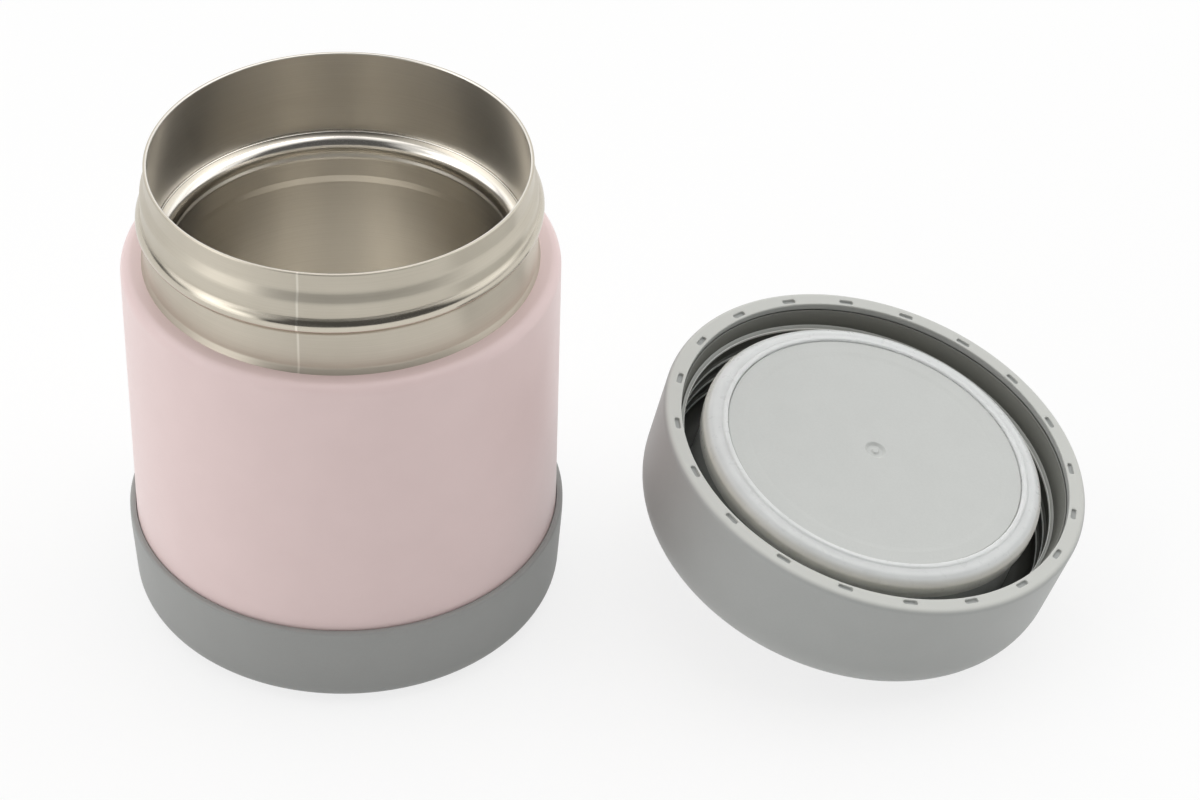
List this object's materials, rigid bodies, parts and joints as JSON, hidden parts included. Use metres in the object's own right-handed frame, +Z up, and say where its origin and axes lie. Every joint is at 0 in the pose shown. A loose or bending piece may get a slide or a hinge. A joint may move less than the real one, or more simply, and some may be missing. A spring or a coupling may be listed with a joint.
{
  "type": "insulated food jar",
  "caption": "Vacuum-insulated steel food jar with a wide mouth, a coated wall and a grey boot; its insulated screw lid lies beside it, mouth up.",
  "frame": {"origin": "centre of the jar's foot, on the table", "axes": "+Z up along the jar's axis; +X towards the lid that lies beside it"},
  "size_m": [0.2094, 0.0964, 0.1093],
  "materials": {
    "pink_coat": "satin powder coat",
    "steel": "brushed",
    "vessel_steel": "satin, electropolished",
    "braze": "dull",
    "getter": "sintered",
    "boot_plastic": "matt",
    "boot_silicone": "matt",
    "lid_plastic": "matt",
    "liner_plastic": "fine spark texture",
    "foam": "beaded foam",
    "gasket_silicone": "translucent satin"
  },
  "bodies": {
    "jar": {"foot_pad": "boot_silicone", "base_ring": "boot_plastic", "outer_bottom": "steel", "vacuum_plug": "braze", "getter_clip": "steel", "getter": "getter", "outer_shell": "pink_coat", "neck": "steel", "inner_vessel": "vessel_steel"},
    "lid": {"lid_cap": "lid_plastic", "lid_liner": "liner_plastic", "lid_insulation": "foam"},
    "gasket": {"gasket": "gasket_silicone"}
  },
  "joints": [
    {"name": "lid_carry", "type": "hinge", "parent": "jar", "child": "lid", "pos_m": [0.06222, -0.00044, 0.08268], "axis": [-0.026, -0.9989, -0.0385], "range_deg": [0, 193.59]},
    {"name": "gasket_pull", "type": "slide", "parent": "lid", "child": "gasket", "axis": [0.2327, -0.082, 0.9691], "range_m": [0, 0.014]}
  ]
}
